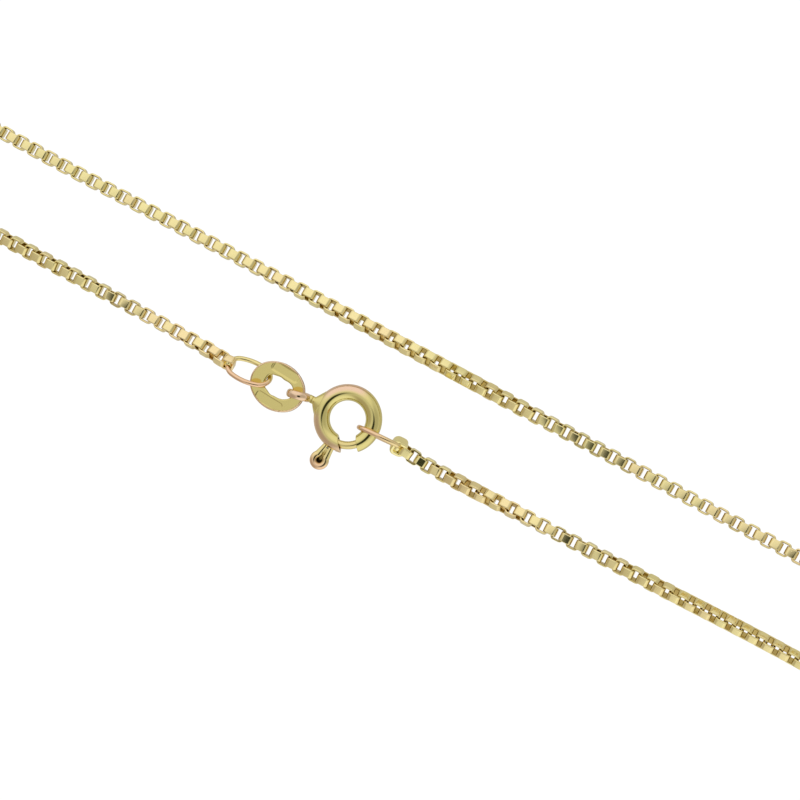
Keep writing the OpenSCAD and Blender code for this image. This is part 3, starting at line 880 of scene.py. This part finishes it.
def thumb_surfaces():
    """Thumb loop: a wire from the bolt round the loop and back, and the floor between its legs, with painted
    shade in the pocket.
    """
    bend = arc((THUMB_R, 0), THUMB_LOOP_R, np.linspace(THUMB_LOOP_FROM, -THUMB_LOOP_FROM, THUMB_LOOP_ROWS))
    knots = [(clasp_r, LEG_SPREAD_IN), (LEG_SPREAD_X, LEG_SPREAD), bend[0, :2]]
    leg = smooth_line(knots, LEG_ROWS)
    ahead = unit(np.gradient(leg, axis=0))
    leg = np.column_stack([leg, -ahead[:, 1], ahead[:, 0]])[:-1]
    line = np.concatenate([leg, bend, leg[::-1] * (1, -1, 1, -1)])
    breadth = np.interp(line[:, 0], (CLASP_D / 2, bend[0, 0]), (LEG_BREADTH, THUMB_BREADTH))
    section = np.stack([oval_section(b / 2, THUMB_WIRE / 2, WIRE_SIDES) for b in breadth])
    wire = sweep(line, section, closed=False)
    # Painted pink reflection, growing towards the loop's outer end
    wire.marks["rose"] = np.interp(wire.points[:, 0] - THUMB_R, *THUMB_PINK_REFLECTION)
    # Painted shade on the wire's sides that face into the pocket
    in_bulb = np.interp(line[:, 0], (POCKET_FROM, POCKET_FROM + POCKET_RISE), (0, 1))[:, None]
    wire.marks["shade_and_dull"] = (in_bulb * np.interp(-section[:, :, 2], *POCKET_SIDE_SHADE)).ravel()

    web = [(POCKET_FROM, -WEB_START_HALF), (WEB_END_X, -WEB_END_HALF),
           (WEB_END_X, WEB_END_HALF), (POCKET_FROM, WEB_START_HALF)]
    rim = np.concatenate([bend[:, :2], web])
    n = len(rim)
    fan = np.stack([np.arange(n), (np.arange(n) + 1) % n, np.full(n, n)], axis=1)
    sheets = []
    for level, web_z, way in ((POCKET_FLOOR, WEB_TOP, 1), (UNDERSIDE, UNDERSIDE, -1)):
        z = np.append(np.full(len(bend), level), np.full(len(web), web_z))
        points = np.concatenate([np.column_stack([rim, z]), [[POCKET_MIDDLE_X, 0, level]]])
        sheets.append(facing_out(points, np.tile([0, 0, way], (n + 1, 1)), fan))
    # The pocket's floor is painted black as shade; the web that rises from it is left clean
    sheets[0].marks["shade_and_dull"][:] = POCKET_SHADE
    sheets[0].marks["shade_and_dull"][len(bend):n] = 0
    return [wire] + sheets


def bolt_piece(material):
    shapes = [bolt_rod()] + [s.moved(turn(z=THUMB_TURN)) for s in thumb_surfaces()]
    shapes = [s.moved(shift=clasp) for s in shapes]
    make_piece("bolt_with_thumb_loop", shapes, material, "bolt", "clasp_bolt")


# Gold

def mix_colours(tree, share, first, second, blend="MIX"):
    """Mix of two colours. What another node gives is linked, and the rest is set on the socket itself."""
    mix = tree.nodes.new("ShaderNodeMix")
    mix.data_type = "RGBA"
    mix.blend_type = blend
    for socket, value in (("Factor", share), ("A", first), ("B", second)):
        if isinstance(value, bpy.types.NodeSocket):
            tree.links.new(value, mix.inputs[socket])
        else:
            mix.inputs[socket].default_value = value
    return mix.outputs["Result"]


def mark_share(tree, mark):
    attribute = tree.nodes.new("ShaderNodeAttribute")
    attribute.attribute_name = mark
    return attribute.outputs["Fac"]


def noise(tree, scale, detail):
    place = tree.nodes.new("ShaderNodeTexCoord")
    texture = tree.nodes.new("ShaderNodeTexNoise")
    texture.inputs["Scale"].default_value = scale
    texture.inputs["Detail"].default_value = detail
    tree.links.new(place.outputs["Object"], texture.inputs["Vector"])
    return texture.outputs["Fac"]


def gold(name, clean, rosy, roughness):
    """Polished gold with soft clouds and rubbing marks, rosy where the mesh says so, with painted reflections
    of the rings and darkened by painted shade and dullness where the mesh says so.
    """
    material = bpy.data.materials.new(name)
    material.use_nodes = True
    tree = material.node_tree
    shader = tree.nodes["Principled BSDF"]
    shader.inputs["Metallic"].default_value = 1.0

    # Painted shade, with dullness at the neck's seam, the tag and the bolt, darkens the gold through this
    # ramp
    shade_and_dull_ramp = tree.nodes.new("ShaderNodeValToRGB")
    shade_and_dull_ramp.color_ramp.elements.new(SHADE_AND_DULL_STOPS[1][0])
    for stop, (share, shade) in zip(shade_and_dull_ramp.color_ramp.elements, SHADE_AND_DULL_STOPS):
        stop.position = share
        stop.color = (*shade, 1)
    tree.links.new(mark_share(tree, "shade_and_dull"), shade_and_dull_ramp.inputs["Fac"])
    tinted = mix_colours(tree, mark_share(tree, "rose"), (*clean, 1), (*rosy, 1))
    # Painted reflections of the rings in the tag's face
    with_ring_reflections = mix_colours(tree, mark_share(tree, "ring_reflection"), tinted, (*RING_REFLECTION_COLOUR, 1))
    darkened = mix_colours(tree, 1.0, with_ring_reflections, shade_and_dull_ramp.outputs["Color"], "MULTIPLY")
    tree.links.new(darkened, shader.inputs["Base Color"])

    rough = tree.nodes.new("ShaderNodeMapRange")
    rough.inputs["To Min"].default_value = roughness * ROUGHNESS_SPREAD[0]
    rough.inputs["To Max"].default_value = roughness * ROUGHNESS_SPREAD[1]
    tree.links.new(noise(tree, *CLOUDS), rough.inputs["Value"])
    tree.links.new(rough.outputs["Result"], shader.inputs["Roughness"])

    bump = tree.nodes.new("ShaderNodeBump")
    bump.inputs["Strength"].default_value = RUBBING_STRENGTH
    bump.inputs["Distance"].default_value = RUBBING_DEPTH
    tree.links.new(noise(tree, *RUBBING), bump.inputs["Height"])
    tree.links.new(bump.outputs["Normal"], shader.inputs["Normal"])
    return material


# Camera, table and light

def direction(azimuth, polar):
    """Unit vector from the angle round z and the angle from straight up."""
    a, p = math.radians(azimuth), math.radians(polar)
    return Vector((math.cos(a) * math.sin(p), math.sin(a) * math.sin(p), math.cos(p)))


def add_camera():
    data = bpy.data.cameras.new("camera")
    data.sensor_width = SENSOR_WIDTH
    data.lens = CAMERA_DISTANCE / MM_A_PIXEL / PICTURE_PIXELS * SENSOR_WIDTH
    data.clip_start = NEAR_CLIP
    camera = bpy.data.objects.new("camera", data)
    back = direction(CAMERA_ROLL, CAMERA_TILT)
    right = direction(CAMERA_ROLL, CAMERA_TILT + 90)
    spin = Matrix((right, back.cross(right), back)).transposed()
    camera.matrix_world = Matrix.Translation(back * CAMERA_DISTANCE * MM) @ spin.to_4x4()
    bpy.context.scene.collection.objects.link(camera)
    bpy.context.scene.camera = camera


def add_table():
    mesh = bpy.data.meshes.new("floor")
    corners = [(x * TABLE_HALF, y * TABLE_HALF, 0) for x, y in ((-1, -1), (1, -1), (1, 1), (-1, 1))]
    mesh.from_pydata(corners, [], [(0, 1, 2, 3)])
    floor = bpy.data.objects.new("floor", mesh)
    bpy.context.scene.collection.objects.link(floor)
    material = bpy.data.materials.new("white_floor")
    material.use_nodes = True
    shader = material.node_tree.nodes["Principled BSDF"]
    shader.inputs["Base Color"].default_value = (TABLE_WHITE, TABLE_WHITE, TABLE_WHITE, 1)
    shader.inputs["Roughness"].default_value = TABLE_ROUGHNESS
    shader.inputs["Emission Color"].default_value = (1, 1, 1, 1)
    shader.inputs["Emission Strength"].default_value = TABLE_LIGHT
    mesh.materials.append(material)
    # The metal shows the tent's grey skirt below it and not the lit table
    floor.visible_glossy = False


def add_world():
    """Light tent: pale grey, with two lamps behind its cloth, two shaded sides and a dark lens opening."""
    world = bpy.data.worlds.new("studio")
    world.use_nodes = True
    bpy.context.scene.world = world
    tree = world.node_tree
    way = tree.nodes.new("ShaderNodeTexCoord")
    seen = (*TENT_GREY, 1)
    for name, angle, polar, inner, outer, colour in TENT_PARTS:
        nearness = tree.nodes.new("ShaderNodeVectorMath")
        nearness.operation = "DOT_PRODUCT"
        nearness.inputs[1].default_value = direction(angle + CAMERA_ROLL, polar)
        tree.links.new(way.outputs["Generated"], nearness.inputs[0])
        share = tree.nodes.new("ShaderNodeMapRange")
        share.interpolation_type = "SMOOTHSTEP"
        share.inputs["From Min"].default_value = math.cos(math.radians(outer))
        share.inputs["From Max"].default_value = math.cos(math.radians(inner))
        tree.links.new(nearness.outputs["Value"], share.inputs["Value"])
        seen = mix_colours(tree, share.outputs["Result"], seen, (*colour, 1))
        seen.node.label = name
    tree.links.new(seen, tree.nodes["Background"].inputs["Color"])
    tree.nodes["Background"].inputs["Strength"].default_value = 1.0


def main():
    add_camera()
    add_table()
    add_world()
    bpy.context.scene.view_settings.view_transform = "Standard"
    chain_gold = gold("chain_gold", *CHAIN_GOLD)
    ring_gold = gold("ring_gold", *RING_GOLD)
    clasp_gold = gold("clasp_gold", *CLASP_GOLD)
    chain_pieces(chain_gold)
    end_links(chain_gold)
    wire_rings(ring_gold)
    tag_piece(clasp_gold)
    clasp_piece(clasp_gold)
    bolt_piece(ring_gold)


main()
